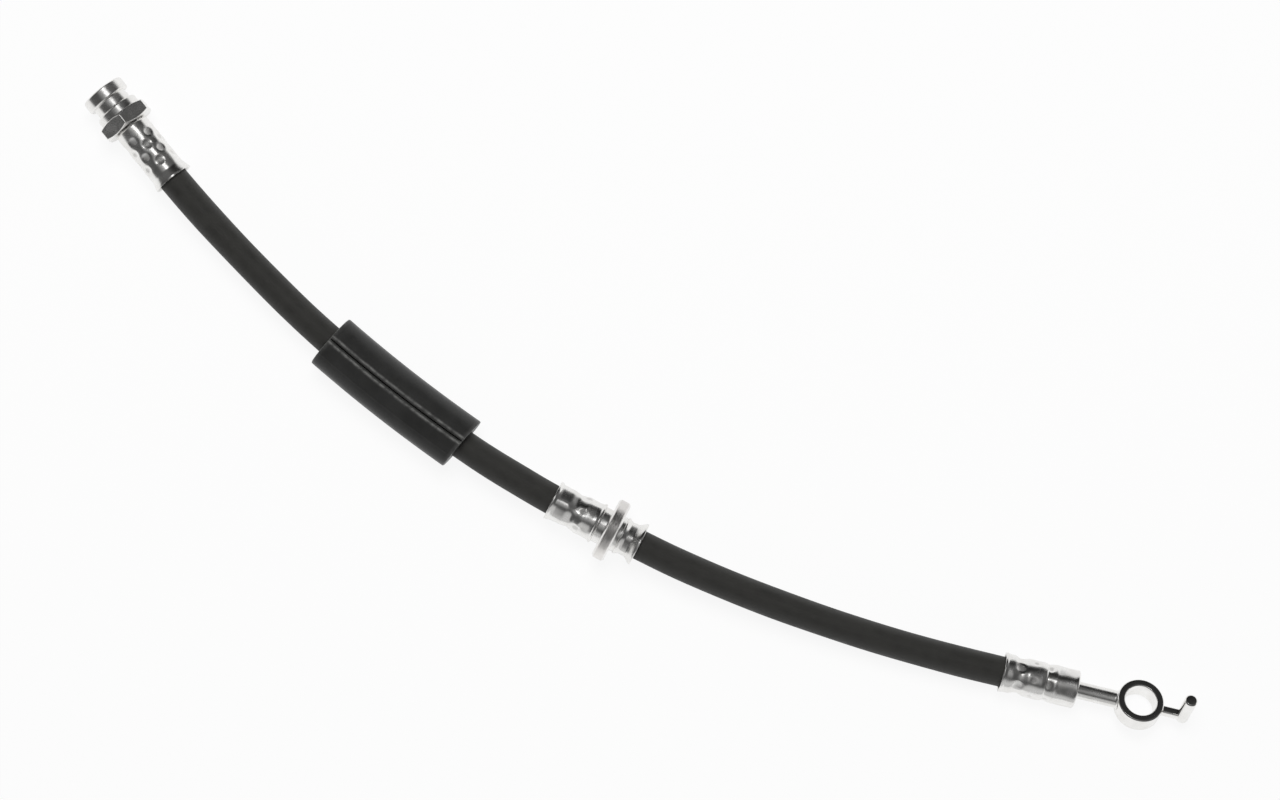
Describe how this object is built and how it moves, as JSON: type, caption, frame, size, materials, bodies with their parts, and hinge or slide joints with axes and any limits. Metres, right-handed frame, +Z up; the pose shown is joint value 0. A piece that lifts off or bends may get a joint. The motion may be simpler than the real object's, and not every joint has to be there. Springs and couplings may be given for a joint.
{
  "type": "brake hose",
  "caption": "Rubber hydraulic brake hose with a threaded port end, a flanged bracket collar, a split guard sleeve and a banjo eye with a locating pin, lying in a shallow bend.",
  "frame": {"origin": "on the surface that the hose lies on, below the middle of its box", "axes": "+X from the threaded port end to the banjo end, +Z up; the hose bends towards -Y"},
  "size_m": [0.4226, 0.0628, 0.0214],
  "materials": {
    "zinc_plated_steel": "bright zinc plate, turned and crimped",
    "hose_rubber": "satin black with a fine wrapped texture",
    "sleeve_rubber": "satin black, extruded"
  },
  "bodies": {
    "root": {"port_fitting": "zinc_plated_steel", "port_ferrule": "zinc_plated_steel", "hose": "hose_rubber", "protective_sleeve": "sleeve_rubber", "bracket_collar": "zinc_plated_steel", "banjo_ferrule": "zinc_plated_steel", "banjo_neck": "zinc_plated_steel", "banjo_eye": "zinc_plated_steel", "locating_pin": "zinc_plated_steel"}
  },
  "joints": []
}
